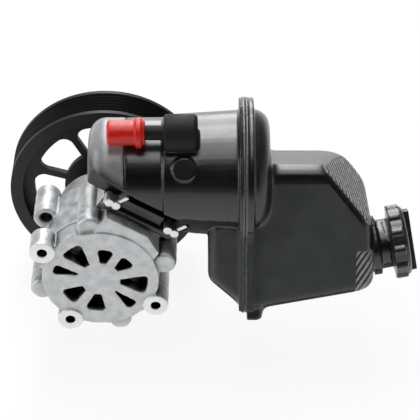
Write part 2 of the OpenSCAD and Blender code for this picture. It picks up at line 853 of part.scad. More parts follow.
// One window of the web: parallel spokes beside it and round outer corners
module window() {
    corner = 7;
    depth = web_t + 2;
    corner_r = window_out - corner;
    corner_a = 180 / window_count - asin((spoke_w / 2 + corner) / corner_r);
    translate([0, 0, web_behind - web_t - 1]) {
        intersection() {
            tube(corner_r, window_in, 0, depth);
            wedge(0, depth);
        }
        intersection() {
            tube(window_out, window_in, 0, depth);
            wedge(corner, depth);
        }
        for (side = [-1, 1]) rotate(side * corner_a) translate([corner_r, 0, 0])
            cylinder(r = corner, h = depth);
    }
}

// Tank

// Round part of the tank on the pump's side, grown inwards by an inset
module drums(inset) {
    tank_axis() {
        translate([0, 0, drum_step + 5]) rotate([180, 0, 0])
            round_disc(drum_r - inset, drum_step + 5 - drum_end - inset, drum_round - inset);
        translate([0, 0, drum_step + inset - through])
            cylinder(r1 = big_r - inset, r2 = seam_r - inset, h = seam_at - drum_step - inset + 2 * through);
    }
}

// Room behind the drums for the ends of the clips, grown by the wall for the cavity
module clip_relief(inset) {
    pump_frame() translate([-200, 0, relief_at - inset])
        cube([200 + relief_x + inset, saddle_h + relief_up + inset, 100]);
}

// Half space on the tank's side of a plane above the saddle
module above_saddle(height) {
    pump_frame() translate([-200, height, -100]) cube([400, 400, 400]);
}

// Everything on one side of the seam
module before_seam() {
    tank_frame() translate([seam_at - 300, -200, -200]) cube([300, 400, 400]);
}

module beyond_seam() {
    tank_frame() translate([seam_at, -200, -200]) cube([300, 400, 400]);
}

// Block with rounded corners and chamfered front and back edges; each corner is x, y and radius
module chamfered_block(corners, inset) {
    hull() for (c = corners) translate([c[0], c[1], 0]) {
        cylinder(r = c[2] - inset, h = 2 * (box_half - box_edge), center = true, $fn = hull_fn);
        cylinder(r = c[2] - min(box_edge, c[2] - 1) - inset / 2, h = 2 * (box_half - inset), center = true,
            $fn = hull_fn);
    }
}

// Lower box on the pump's side of the seam
module heel(inset) {
    r = 7;
    left = seam_at - box_back;
    tank_frame() chamfered_block([[left + r, -r, r], [left + r, -heel_drop + 4 + r, r],
        [left + 14, -heel_drop + r, r], [seam_at + 4, -box_drop + r + 1, r], [seam_at + 4, -r, r]], inset);
}

// Box on the filler's side of the seam, with one big rounded corner and a slanted face across it
module box(inset) {
    r = 7;
    foot_r = 12;
    corner = [box_far - box_round, box_top - box_round];
    tank_frame() difference() {
        chamfered_block([[seam_at - 4, box_top - r, r], [corner[0], corner[1], box_round],
            [box_far + 3 - foot_r, -box_drop + floor_rise + foot_r + 4, foot_r],
            [seam_at - 4, -box_drop + r, r]], inset);
        translate(corner) rotate(slant_turn) translate([box_round - inset, 0, -box_half])
            rotate([0, -slant, 0]) translate([0, -100, -50]) cube([200, 200, 200]);
    }
}

// Plate of the seam flange: round at the top, square round the box below, grown all round by proud
module flange_plate(from, to, proud) {
    half = flange_half + proud;
    drop = flange_drop + proud;
    tank_frame() {
        translate([from, 0, 0]) rotate([0, 90, 0]) cylinder(r = flange_r + proud, h = to - from);
        translate([from, -drop, -half]) cube([to - from, drop, 2 * half]);
    }
}

// Foot of the tank: flange on the saddle, neck up to the drums and the suction spigot
module foot() {
    pump_frame() {
        translate([-saddle_w / 2, saddle_h, saddle_at]) cube([saddle_w, foot_t, saddle_end - saddle_at]);
        translate([-foot_in, saddle_h, saddle_at + 2]) cube([2 * foot_in, 12, saddle_end - saddle_at - 6]);
    }
    suction_frame() difference() {
        rod(suction_spigot / 2, -suction_len, 0);
        translate([0, 0, -suction_len / 2]) tube(suction_spigot, suction_spigot / 2 - o_ring + 0.3,
            -o_ring / 2, o_ring / 2);
    }
}

module tank_pump_half() {
    color("#1c1c1e") difference() {
        union() {
            difference() {
                intersection() {
                    drums(0);
                    above_saddle(saddle_h + drum_up);
                    before_seam();
                }
                clip_relief(0);
            }
            foot();
            intersection() {
                heel(0);
                before_seam();
            }
            flange_plate(flange_from, seam_at - flash_half / 2, 0);
            flange_plate(seam_at - flash_half, seam_at, flash_proud);
            nipple_frame() {
                rod(nipple_d / 2, -2, nipple_len);
                rotate([180, 0, 0]) round_disc(nipple_boss / 2, nipple_boss_len, 3);
            }
            tank_frame() translate([drum_step + pad_d / 2 + 5, 0, 0]) rotate([-pad_turn, 0, 0])
                cylinder(d = pad_d, h = big_r + 2);
        }
        difference() {
            intersection() {
                drums(wall);
                above_saddle(saddle_h + drum_up + wall);
            }
            clip_relief(wall);
        }
        heel(wall);
        suction_frame() rod(suction_d / 2, -suction_len - through, drum_up + wall + through);
        nipple_frame() rod(nipple_bore / 2, -nipple_boss_len / 2 - nipple_bore, nipple_len + through);
        tank_frame() translate([nipple_root + nipple_boss_len / 2, nipple_up, nipple_out])
            rotate([atan2(nipple_out, nipple_up) + 90, 0, 0])
                rod(nipple_bore / 2 - 0.5, 0, nipple_boss / 2 + 6);
        tank_axis() translate([0, 0, 18]) tube(drum_r + through, drum_r - 1, -0.6, 0.6);
    }
}

module tank_filler_half() {
    color("#1c1c1e") difference() {
        union() {
            intersection() {
                box(0);
                beyond_seam();
            }
            tank_axis() translate([0, 0, seam_at]) round_disc(seam_r, shoulder_len, shoulder_round);
            flange_plate(seam_at + flash_half / 2, flange_to, 0);
            flange_plate(seam_at, seam_at + flash_half, flash_proud);
            tank_frame() translate([flange_to - flange_thick, -box_drop - nub_h, box_half - 16])
                cube([11, nub_h + 4, 13]);
            neck_frame() {
                rod(neck_bore / 2 + neck_wall, -8, neck_len);
                rod(collar_d / 2, collar_at, collar_at + collar_t);
            }
        }
        box(wall);
        tank_axis() translate([0, 0, seam_at - through])
            round_disc(seam_r - wall, shoulder_len + through - wall, shoulder_round - wall);
        neck_frame() rod(neck_bore / 2, -12, neck_len + through);
    }
}

// O-ring on the suction spigot
module tank_seal() {
    color("black") suction_frame() translate([0, 0, -suction_len / 2])
        tube(suction_spigot / 2 + 0.15, suction_spigot / 2 - o_ring + 0.35, -o_ring / 2 + 0.05,
            o_ring / 2 - 0.05);
}

// Spring clip: a folded sheet channel over the edges of the rail and the foot. Its upper lip ends at
// the rear in two rolls with a slanted release tab.
module clip(side) {
    low = saddle_h - rail_t - sheet_gap - clip_t;
    high = foot_h + sheet_gap;
    length = joint_at - saddle_at - 1;
    reach = saddle_end - saddle_at - 1;
    roll_x = side * (clip_x - clip_lip / 2);
    color("whitesmoke") pump_frame() translate([0, 0, saddle_at + 1]) {
        mirror([side < 0 ? 1 : 0, 0, 0]) {
            translate([clip_x, low, 0]) cube([clip_t, high + clip_t - low, length]);
            translate([clip_x - rail_over, low, 0]) cube([rail_over + clip_t, clip_t, length]);
            translate([clip_x - clip_lip, high, 0]) cube([clip_lip + clip_t, clip_t, reach]);
        }
        for (k = [-1, 1]) translate([roll_x + k * (clip_roll / 2 - 0.4), high + clip_roll / 2, reach - 8])
            cylinder(d = clip_roll, h = 10);
        translate([roll_x + clip_roll / 2, high + clip_roll - clip_t, reach - 7]) rotate(-30)
            translate([-clip_t, -clip_t, 0]) cube([2 * clip_t, clip_tab + clip_t, 7]);
    }
}

module clip_left() {
    clip(-1);
}

module clip_right() {
    clip(1);
}

// Cage with slots that stands over the suction port inside the tank
module suction_strainer() {
    r = suction_d / 2 + 4;
    base = drum_up + wall;
    h = 14;
    color("beige") suction_frame() difference() {
        rod(r, base + 0.1, base + h);
        rod(r - 1.5, base - through, base + h - 1.5);
        for (i = [0:5]) rotate(i * 30) translate([-r - 1, -1.6, base + 3]) cube([2 * r + 2, 3.2, h - 6]);
    }
}

module filler_cap() {
    color("#262626") neck_frame() difference() {
        union() {
            translate([0, 0, cap_at]) round_disc(cap_d / 2 - 2, cap_t, 3);
            for (i = [1:grip_count]) rotate(i * 360 / grip_count) translate([cap_d / 2 - 3.5, 0, cap_at])
                cylinder(d = 7, h = cap_t - 3);
            rod(cap_core, cap_at - gasket_t - plug_len, cap_at + 1);
            translate([-4, -cap_d / 2 + 5, cap_at + cap_t - 1]) cube([8, cap_d - 10, 5]);
        }
        translate([-dipstick_w / 2 - 0.05, -0.8 - 0.05, cap_at - gasket_t - plug_len - through])
            cube([dipstick_w + 0.1, 1.7, dip_seat + through]);
    }
}

module cap_gasket() {
    color("black") neck_frame() tube(neck_bore / 2 + neck_wall, cap_core + 0.1, neck_len, cap_at);
}

module dipstick() {
    top = cap_at - gasket_t - plug_len + dip_seat;
    color("darkgray") neck_frame() translate([-dipstick_w / 2, -0.8, top - dip_seat - dipstick_len])
        cube([dipstick_w, 1.6, dipstick_len + dip_seat]);
}

module shipping_cap() {
    color("#d62a1e") nipple_frame() translate([0, 0, nipple_len + ship_floor - ship_len]) difference() {
        union() {
            round_disc(ship_d / 2, ship_len, 2);
            translate([0, 0, 2]) rod(ship_flange / 2, 0, 4);
        }
        rod(nipple_d / 2 + slip_gap, -through, ship_len - ship_floor + slip_gap);
    }
}

pump_housing();
rear_cover();
cover_bolts();
cover_o_ring();
cam_ring();
front_plate();
rear_plate();
dowel_pins();
plate_spring();
bearing_outer_ring();
bearing_circlip();
shaft_seal();
rear_bush();
outlet_fitting();
fitting_o_ring();
valve_plug();
valve_spring();
valve_spool();
pulley();
drive_shaft();
rotor();
rotor_circlip();
bearing_inner_ring();
bearing_balls();
bearing_cage();
for (i = [1:vane_count]) vane(i);
tank_pump_half();
tank_filler_half();
tank_seal();
clip_left();
clip_right();
suction_strainer();
filler_cap();
cap_gasket();
dipstick();
shipping_cap();
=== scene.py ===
import json
import math

import bmesh
import bpy
import numpy as np
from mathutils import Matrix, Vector, noise


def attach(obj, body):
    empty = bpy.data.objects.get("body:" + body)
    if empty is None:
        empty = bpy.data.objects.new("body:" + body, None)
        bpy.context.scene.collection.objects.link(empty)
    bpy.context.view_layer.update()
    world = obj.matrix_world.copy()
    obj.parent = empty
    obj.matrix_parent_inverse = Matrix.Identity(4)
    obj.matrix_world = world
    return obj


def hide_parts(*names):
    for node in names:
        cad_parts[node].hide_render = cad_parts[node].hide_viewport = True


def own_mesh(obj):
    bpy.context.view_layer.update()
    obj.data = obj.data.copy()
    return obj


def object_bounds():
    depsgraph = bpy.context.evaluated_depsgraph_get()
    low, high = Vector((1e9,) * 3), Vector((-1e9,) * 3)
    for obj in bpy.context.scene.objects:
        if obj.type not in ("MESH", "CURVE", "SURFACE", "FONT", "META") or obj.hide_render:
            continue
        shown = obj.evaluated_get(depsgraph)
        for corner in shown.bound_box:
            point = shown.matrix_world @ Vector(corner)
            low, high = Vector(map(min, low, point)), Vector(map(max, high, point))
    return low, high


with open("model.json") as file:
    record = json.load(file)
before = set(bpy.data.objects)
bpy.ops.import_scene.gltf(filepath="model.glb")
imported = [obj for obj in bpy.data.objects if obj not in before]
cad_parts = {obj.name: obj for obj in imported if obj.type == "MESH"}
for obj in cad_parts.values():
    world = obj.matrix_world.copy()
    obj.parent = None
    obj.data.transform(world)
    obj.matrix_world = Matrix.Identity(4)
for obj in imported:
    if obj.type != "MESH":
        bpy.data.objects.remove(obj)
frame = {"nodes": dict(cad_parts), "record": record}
nodes = frame["nodes"]
box_at_load = [list(corner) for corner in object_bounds()]


# Pump housing
# A die casting in aluminium: nose for the bearing, barrel for the pumping parts, three tubular mounting
# bosses and the saddle that carries the tank. Its skin is blasted; the joint face is milled flat.

def linear(code):
    """An sRGB hex colour as the linear RGBA that a shader takes."""
    channels = [int(code[i:i + 2], 16) / 255 for i in (1, 3, 5)]
    return [c / 12.92 if c <= 0.04045 else ((c + 0.055) / 1.055) ** 2.4 for c in channels] + [1.0]


def put(tree, kind, sockets=None, **settings):
    """Adds a shader node. Its sockets take plain values or other nodes' outputs."""
    made = tree.nodes.new("ShaderNode" + kind)
    for name, value in settings.items():
        setattr(made, name, value)
    for name, value in (sockets or {}).items():
        if isinstance(value, bpy.types.NodeSocket):
            tree.links.new(value, made.inputs[name])
        else:
            made.inputs[name].default_value = value
    return made


# A Mix node's sockets when it mixes colours. They share names with its other kinds, so they go by number.
mix_share, mix_from, mix_to, mix_result = 0, 6, 7, 2


def surface(name, dark, light, patch_mm, rough, grain_mm, grain_depth_mm, edge_mm, recess_shade=None, **principled):
    """A material that drifts between two colours and two roughnesses, with a fine grain and soft edges.

    recess_shade is painted shade laid into recesses: its colour, how far in mm a place looks for walls around
    it, and how open it is to the sky, from 0 to 1, where the shade is whole and where it ends.
    """
    material = bpy.data.materials.new(name)
    material.use_nodes = True
    tree = material.node_tree
    tree.nodes.clear()
    place = put(tree, "TexCoord").outputs["Object"]
    patches = put(tree, "TexNoise", {"Vector": place, "Scale": 1000 / patch_mm, "Detail": 4.0}).outputs[0]
    drift = put(tree, "MapRange", {"Value": patches, "From Min": 0.35, "From Max": 0.65}).outputs[0]
    colour = put(tree, "Mix", {mix_share: drift, mix_from: linear(dark), mix_to: linear(light)},
                 data_type="RGBA")
    # Painted shade: the colour is laid in where ambient occlusion finds walls close around a place.
    if recess_shade:
        shade_colour, reach_mm, closed, opened = recess_shade
        recess = put(tree, "AmbientOcclusion", {"Distance": reach_mm / 1000}, only_local=True, samples=8)
        open_sky = put(tree, "MapRange", {"Value": recess.outputs["AO"], "From Min": closed,
                                          "From Max": opened})
        colour = put(tree, "Mix", {mix_share: open_sky.outputs[0], mix_from: linear(shade_colour),
                                   mix_to: colour.outputs[mix_result]}, data_type="RGBA")
    gloss = put(tree, "MapRange", {"Value": patches, "From Min": 0.3, "From Max": 0.7,
                                   "To Min": rough[0], "To Max": rough[1]})
    grain = put(tree, "TexNoise", {"Vector": place, "Scale": 1000 / grain_mm, "Detail": 2.0})
    edges = put(tree, "Bevel", {"Radius": edge_mm / 1000}, samples=4)
    bumps = put(tree, "Bump", {"Height": grain.outputs[0], "Distance": grain_depth_mm / 1000,
                               "Normal": edges.outputs[0]})
    skin = put(tree, "BsdfPrincipled", {"Base Color": colour.outputs[mix_result], "Roughness": gloss.outputs[0],
                                        "Normal": bumps.outputs[0], **principled})
    colour.name = "colour"
    skin.name = "skin"
    put(tree, "OutputMaterial", {"Surface": skin.outputs[0]})
    return material


def bake(piece):
    """Turns the piece's modifiers into its mesh."""
    bpy.context.view_layer.update()
    done = bpy.data.meshes.new_from_object(piece.evaluated_get(bpy.context.evaluated_depsgraph_get()))
    piece.modifiers.clear()
    piece.data = done


def soften(node, piece, voxel_mm, rounds):
    """A copy of a CAD node's mesh with its cast or moulded edges rounded, in place of that node."""
    source = nodes[node]
    shape = bmesh.new()
    shape.from_mesh(source.data)
    bmesh.ops.remove_doubles(shape, verts=shape.verts, dist=1e-6)
    mesh = bpy.data.meshes.new(piece)
    shape.to_mesh(mesh)
    shape.free()
    made = bpy.data.objects.new(piece, mesh)
    bpy.context.scene.collection.objects.link(made)
    made.matrix_world = source.matrix_world
    grid = made.modifiers.new("grid", "REMESH")
    grid.mode = "VOXEL"
    grid.voxel_size = voxel_mm / 1000
    relax = made.modifiers.new("relax", "SMOOTH")
    relax.factor = 0.5
    relax.iterations = rounds
    bake(made)
    return made


def lighten(piece, share):
    """Leaves about that share of the piece's triangles, where its shape needs them most."""
    thin = piece.modifiers.new("thin", "DECIMATE")
    thin.ratio = share
    bake(piece)


def points_of(piece):
    """The piece's mesh points in the part's frame, in metres, as an array."""
    flat = np.empty(len(piece.data.vertices) * 3)
    piece.data.vertices.foreach_get("co", flat)
    turn = np.array(piece.matrix_world)
    return flat.reshape(-1, 3) @ turn[:3, :3].T + turn[:3, 3]


def move_points(piece, moved):
    """Puts the piece's mesh points at new places in the part's frame."""
    back = np.array(piece.matrix_world.inverted())
    piece.data.vertices.foreach_set("co", (moved @ back[:3, :3].T + back[:3, 3]).ravel())
    piece.data.update()


def dress(piece, material):
    """One material all over the piece, with smooth shading inside each CAD face."""
    piece.data.materials.clear()
    piece.data.materials.append(material)
    piece.data.polygons.foreach_set("use_smooth", [True] * len(piece.data.polygons))
    piece.data.update()


def fade(inside, width):
    """A share from 0 at an edge to 1 a width inside it, for distances inside that edge."""
    return np.clip(inside / width, 0, 1)


def cast_skin(piece, share):
    """Low waves all over a casting, as the mould's wash leaves them, where the share function allows."""
    wave_mm, height_mm = 4.5, 0.32
    points = points_of(piece)
    outwards = np.empty(points.size)
    piece.data.vertices.foreach_get("normal", outwards)
    waves = np.array([noise.noise(Vector(point) * (1000 / wave_mm)) for point in points])
    heights = height_mm / 1000 * waves * share(points)
    move_points(piece, points + outwards.reshape(-1, 3) * heights[:, None])


# Blasted casting skin: pale matt grey with faint darker drifts and small open pores. Painted shade darkens
# it in recesses.
cast_aluminium = surface("cast_aluminium", "#BFC1C3", "#DADCDD", patch_mm=7, rough=(0.5, 0.64), grain_mm=1.1,
                         grain_depth_mm=0.16, edge_mm=0.5, recess_shade=("#1E1F20", 9, 0.35, 0.8), Metallic=1.0)

bored_radius = 0.036
joint_face_y = -0.0955


def unmachined(points):
    """The housing's outer skin: away from the chamber and the joint face."""
    from_shaft = np.hypot(points[:, 0], points[:, 2])
    return fade(from_shaft - bored_radius, width=0.001) * fade(points[:, 1] - joint_face_y, width=0.001)


pump_housing = soften("pump_housing", "housing_casting", voxel_mm=0.7, rounds=4)
cast_skin(pump_housing, unmachined)
lighten(pump_housing, 0.4)
dress(pump_housing, cast_aluminium)
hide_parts("pump_housing")
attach(pump_housing, "pump")


# Bearing, seal and bush
# The front ball bearing sits in the nose behind a circlip, the lip seal behind it, and a bronze bush in
# the cover carries the far end of the shaft.

# Ground bearing steel: bright and even, with fine turning lines.
bare_steel = surface("ground_steel", "#9A9C9F", "#B4B6B8", patch_mm=6, rough=(0.18, 0.32), grain_mm=0.25,
                     grain_depth_mm=0.01, edge_mm=0.2, Metallic=1.0)
# Machined brass of the cage, warm and slightly dull.
brass = surface("cage_brass", "#A88A4A", "#C0A15C", patch_mm=5, rough=(0.25, 0.4), grain_mm=0.3,
                grain_depth_mm=0.01, edge_mm=0.2, Metallic=1.0)
# Sintered bronze of the bush, brown with open pores.
bronze = surface("bush_bronze", "#8A6238", "#A57A48", patch_mm=3, rough=(0.35, 0.5), grain_mm=0.3,
                 grain_depth_mm=0.03, edge_mm=0.2, Metallic=1.0)
# Moulded black rubber: soft sheen, faint bloom.
rubber = surface("black_rubber", "#161616", "#222222", patch_mm=4, rough=(0.45, 0.6), grain_mm=0.3,
                 grain_depth_mm=0.02, edge_mm=0.2)
for name in ("bearing_outer_ring", "bearing_inner_ring", "bearing_balls", "bearing_circlip"):
    dress(nodes[name], bare_steel)
dress(nodes["bearing_cage"], brass)
dress(nodes["rear_bush"], bronze)
dress(nodes["shaft_seal"], rubber)


# Pumping parts
# Rotor with ten vanes inside a cam ring, between two plates that dowels line up; a plate spring presses
# the stack against the cover. All hardened and ground steel.

vane_count = 10
for name in ("cam_ring", "front_plate", "rear_plate", "dowel_pins", "plate_spring", "rotor",
             "rotor_circlip", "drive_shaft"):
    dress(nodes[name], bare_steel)
for number in range(1, vane_count + 1):
    dress(nodes["vane_%d" % number], bare_steel)


# Flow control valve, outlet and small seals
# A spool with its spring behind a screwed plug on the left, and the pressure outlet's fitting screwed in
# on the right. The cover's bolts share the plug's zinc plate, and all O-rings are the same rubber.

# Bright zinc plate on steel: near white, soft gloss, faint cloudy spangle.
zinc_steel = surface("zinc_plated_steel", "#DCDDDE", "#EEEFF0", patch_mm=4, rough=(0.34, 0.46), grain_mm=0.4,
                     grain_depth_mm=0.015, edge_mm=0.25, Metallic=1.0)
dress(nodes["valve_spool"], bare_steel)
for name in ("valve_plug", "outlet_fitting", "cover_bolts"):
    dress(nodes[name], zinc_steel)
for name in ("fitting_o_ring", "cover_o_ring", "tank_seal", "cap_gasket"):
    dress(nodes[name], rubber)

# The spring shortens from the plug's side as the spool comes back, so it is a mesh of its own.
valve_slide = next(joint for joint in frame["record"]["behaviour"]["joints"] if joint["name"] == "valve_slide")
spring_hold = valve_slide["deforming_nodes"][0]
spring_wire = bpy.data.objects.new("spring_wire", nodes["valve_spring"].data.copy())
bpy.context.scene.collection.objects.link(spring_wire)
spring_wire.matrix_world = nodes["valve_spring"].matrix_world
spring_reach = points_of(spring_wire) @ np.array(spring_hold["axis"])
dress(spring_wire, bare_steel)
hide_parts("valve_spring")
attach(spring_wire, "pump")
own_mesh(spring_wire)


# Rear cover
# A die casting in the same aluminium: a star of eight ribs with deep pockets, three tapped ears whose
# faces are milled bright, and a smooth pad under the tank's foot.

def tint(material, code, value, start, end):
    """Lays a colour over the material's own: none of it where the value is at start, all of it at end."""
    tree = material.node_tree
    share = put(tree, "MapRange", {"Value": value, "From Min": start, "From Max": end}).outputs[0]
    mixed = put(tree, "Mix", {mix_share: share, mix_from: tree.nodes["colour"].outputs[mix_result],
                              mix_to: linear(code)}, data_type="RGBA")
    tree.links.new(mixed.outputs[mix_result], tree.nodes["skin"].inputs["Base Color"])


cover_joint_y = -0.0965
ear_skin_y = -0.1126
ear_mill_y = (-0.1124, -0.1129)

# Casting skin with painted shade that turns the pocket floors near black, and bright milled ear faces.
cover_aluminium = surface("cover_aluminium", "#BFC1C3", "#DADCDD", patch_mm=7, rough=(0.5, 0.64), grain_mm=1.1,
                          grain_depth_mm=0.16, edge_mm=0.5, recess_shade=("#060606", 10, 0.55, 0.92), Metallic=1.0)
cover_place = put(cover_aluminium.node_tree, "TexCoord").outputs["Object"]
cover_y = put(cover_aluminium.node_tree, "SeparateXYZ", {0: cover_place}).outputs["Y"]
tint(cover_aluminium, "#F2F3F4", cover_y, *ear_mill_y)


def unmilled(points):
    """The cover's outer skin: away from the joint face and the milled ear faces."""
    along_shaft = points[:, 1]
    return fade(cover_joint_y - along_shaft, width=0.001) * fade(along_shaft - ear_skin_y, width=0.0004)


rear_cover = soften("rear_cover", "cover_casting", voxel_mm=0.5, rounds=5)
cast_skin(rear_cover, unmilled)
lighten(rear_cover, 0.45)
dress(rear_cover, cover_aluminium)
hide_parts("rear_cover")
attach(rear_cover, "pump")


# Pulley
# A steel pulley for a ribbed belt, pressed on the shaft: grooved rim, thin web with eight windows, hub. It
# is painted satin black all over.

# Satin black paint: deep, with a slight orange peel and a dusty drift.
pulley_paint = surface("pulley_black_paint", "#0B0B0C", "#141415", patch_mm=20, rough=(0.42, 0.55),
                       grain_mm=1.2, grain_depth_mm=0.03, edge_mm=0.5, **{"Specular IOR Level": 0.4})
dress(nodes["pulley"], pulley_paint)


# Tank, pump half
# Injection moulded in black nylon: a stepped drum on a foot that rests on the saddle, a heel below, half
# of the seam flange and the return boss with its nipple. It holds the oil.

# The tank lies tipped back on the saddle. Its sizes below are metres in its own frame: along its axis, up
# its front face and out of that face.
tank_tip = math.radians(24)
tank_origin = np.array([0, -0.067, 0.057])
tank_along = np.array([1, 0, 0])
tank_up = np.array([0, math.sin(tank_tip), math.cos(tank_tip)])
tank_out = np.array([0, -math.cos(tank_tip), math.sin(tank_tip)])


def in_tank(points):
    """Points in the tank's frame, as three arrays: along, up and out."""
    rest = points - tank_origin
    return rest @ tank_along, rest @ tank_up, rest @ tank_out


def round_off(piece, share, rounds):
    """Rounds the piece's edges further, each point by its share from 0 to 1."""
    group = piece.vertex_groups.new(name="share")
    for index, weight in enumerate(share(points_of(piece))):
        if weight > 0:
            group.add([index], float(weight), "REPLACE")
    relax = piece.modifiers.new("relax", "SMOOTH")
    relax.factor = 0.5
    relax.iterations = rounds
    relax.vertex_group = "share"
    bake(piece)
    piece.vertex_groups.clear()


heel_top = -0.043
flange_near = 0.0925


def heel_edges(points):
    """The heel below the drum, whose edges are rounder than the rest."""
    along, up, out = in_tank(points)
    return fade(heel_top - up, width=0.004) * fade(flange_near - along, width=0.002)


def paint(piece, material, where):
    """Another material on the faces that the where function picks by their middles and the way they face."""
    if material.name not in piece.data.materials:
        piece.data.materials.append(material)
    slot = piece.data.materials.find(material.name)
    faces = piece.data.polygons
    middles = np.empty(len(faces) * 3)
    faces.foreach_get("center", middles)
    facing = np.empty(len(faces) * 3)
    faces.foreach_get("normal", facing)
    chosen = where(middles.reshape(-1, 3), facing.reshape(-1, 3))
    slots = np.empty(len(faces), int)
    faces.foreach_get("material_index", slots)
    faces.foreach_set("material_index", np.where(chosen, slot, slots))
    piece.data.update()


small_drum_r = 0.038
drum_skin = 0.0006
groove_along = 0.0174
foot_line = -0.002
cone_from = 0.045
cone_r = 0.0401
cone_slope = 0.0654
boss_axis = 0.035
boss_r = 0.0132
boss_to = 0.0675
seam_along = 0.0985
flash_half = 0.0014
panel_out = 0.0288
heel_panel_top = -0.0325
ground_facing = -0.22


def closed_end(points, facing):
    """The drum's closed end as far as the parting groove, above the foot."""
    along, up, out = in_tank(points)
    on_drum = np.hypot(up, out) < small_drum_r + drum_skin
    return on_drum & (along < groove_along) & (up + 0.5 * out > foot_line)


def return_boss(points, facing):
    """The boss and nipple that stand out beside the drum."""
    along, up, out = in_tank(points)
    drum_r = np.where(along < cone_from, small_drum_r, cone_r + cone_slope * (along - cone_from))
    near_boss = np.hypot(up - boss_axis, out - boss_axis) < boss_r
    return near_boss & (np.hypot(up, out) > drum_r + drum_skin) & (along < boss_to)


def underside(points, facing):
    """Everything that faces the ground: it comes from the matt half of the mould."""
    return facing[:, 2] < ground_facing


def heel_panel(points, facing):
    """The flat front of the heel and of its flange, inside the rounded edges."""
    along, up, out = in_tank(points)
    return (out > panel_out) & (up < heel_panel_top)


def flash(points, facing):
    """The bead of weld flash between the flanges."""
    return np.abs(in_tank(points)[0] - seam_along) < flash_half


# Black nylon: near black where it faces the eye, pale where it mirrors the sky; polished mould.
black_nylon = surface("black_nylon", "#070808", "#0C0D0D", patch_mm=18, rough=(0.27, 0.35), grain_mm=0.5,
                      grain_depth_mm=0.008, edge_mm=0.5, IOR=1.53,
                      **{"Coat Weight": 0.4, "Coat IOR": 1.53, "Coat Roughness": 0.26})
# Grained nylon of the flat panels: the mould is spark-eroded there, so they are a dull charcoal grey.
grained_nylon = surface("grained_nylon", "#303233", "#393B3C", patch_mm=14, rough=(0.5, 0.62), grain_mm=0.8,
                        grain_depth_mm=0.05, edge_mm=0.4, IOR=1.53)
# Weld flash at the seam: nylon squeezed out and cooled in the air. Its mid grey is a painted highlight
# along the seam.
flash_painted_highlight = surface("flash_painted_highlight", "#46484A", "#5C5E60", patch_mm=3, rough=(0.28, 0.4), grain_mm=0.7,
                     grain_depth_mm=0.04, edge_mm=0.3, IOR=1.53,
                     **{"Coat Weight": 0.4, "Coat IOR": 1.53, "Coat Roughness": 0.26})
# Coarser spark-eroded skin of the return boss, the nipple and all undersides: matt, so it stays black.
matt_nylon = surface("matt_nylon", "#0C0D0D", "#141515", patch_mm=8, rough=(0.55, 0.7), grain_mm=0.6,
                     grain_depth_mm=0.04, edge_mm=0.5, **{"Specular IOR Level": 0.3})
# Nylon of the drum's closed end with a painted reflection: a pale grey sheen coloured in, which fades back to
# black towards the foot and the back.
painted_reflection_nylon = surface("painted_reflection_nylon", "#7C7E80", "#929496", patch_mm=9, rough=(0.34, 0.44), grain_mm=0.6,
                        grain_depth_mm=0.02, edge_mm=0.5, IOR=1.53,
                        **{"Coat Weight": 0.6, "Coat IOR": 1.53, "Coat Roughness": 0.3})
reflection_way = list(0.63 * tank_along + tank_up + 0.5 * tank_out)
reflection_fade_from, reflection_fade_to = 0.0935, 0.1015
drum_place = put(painted_reflection_nylon.node_tree, "TexCoord").outputs["Object"]
reflection_fade = put(painted_reflection_nylon.node_tree, "VectorMath", {0: drum_place, 1: reflection_way}, operation="DOT_PRODUCT")
tint(painted_reflection_nylon, "#0A0B0B", reflection_fade.outputs["Value"], reflection_fade_to, reflection_fade_from)

tank_pump_half = soften("tank_pump_half", "tank_pump_half_moulding", voxel_mm=0.75, rounds=4)
round_off(tank_pump_half, heel_edges, 60)
lighten(tank_pump_half, 0.3)
dress(tank_pump_half, black_nylon)
# The drum's closed end gets the painted reflection.
paint(tank_pump_half, painted_reflection_nylon, closed_end)
paint(tank_pump_half, matt_nylon, return_boss)
paint(tank_pump_half, matt_nylon, underside)
paint(tank_pump_half, grained_nylon, heel_panel)
# The flash bead gets the painted highlight.
paint(tank_pump_half, flash_painted_highlight, flash)
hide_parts("tank_pump_half")
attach(tank_pump_half, "pump")


# Tank, filler half
# The box that the oil is filled into, welded to the pump half at the flange, with a slanted ribbed face
# across its upper corner and the filler neck on its far wall. Same black nylon.

box_from = 0.107
far_wall = 0.179
neck_up = -0.052
neck_room = 0.021


def box_edges(points):
    """The box beyond the flange, without the neck."""
    along, up, out = in_tank(points)
    off_neck = np.hypot(up - neck_up, out) - neck_room
    clear_of_neck = np.maximum(fade(far_wall - along, width=0.002), fade(off_neck, width=0.003))
    return fade(along - box_from, width=0.003) * clear_of_neck


# The slanted face: which way it looks, how it leans to the front, a corner it is measured from, how far from
# there it lies at its back edge, half its depth, and how far below it a point still counts as its skin.
slant_turn = math.radians(39)
slant_lean = math.atan(13 / 60)
slant_along, slant_up = 0.1525, -0.020
slant_reach = 0.031
slant_back = -0.030
slant_half = 0.031
slant_skin = 0.0012


def on_slant(points):
    """Points as seen from the slanted face: their reach towards it, their place across it, and their height
    over it, in metres."""
    along, up, out = in_tank(points)
    reach = (along - slant_along) * math.cos(slant_turn) + (up - slant_up) * math.sin(slant_turn)
    across = (up - slant_up) * math.cos(slant_turn) - (along - slant_along) * math.sin(slant_turn)
    height = (reach - slant_reach) * math.cos(slant_lean) + (out - slant_back) * math.sin(slant_lean)
    return reach, across, height


def grooves(distance, pitch):
    """Even round grooves side by side: 0 on the ribs between them, 1 on their floors."""
    return 0.5 + 0.5 * np.sin(2 * math.pi * distance / pitch)


tank_filler_half = soften("tank_filler_half", "tank_filler_half_moulding", voxel_mm=0.75, rounds=4)
round_off(tank_filler_half, box_edges, 110)
points = points_of(tank_filler_half)
along, up, out = in_tank(points)

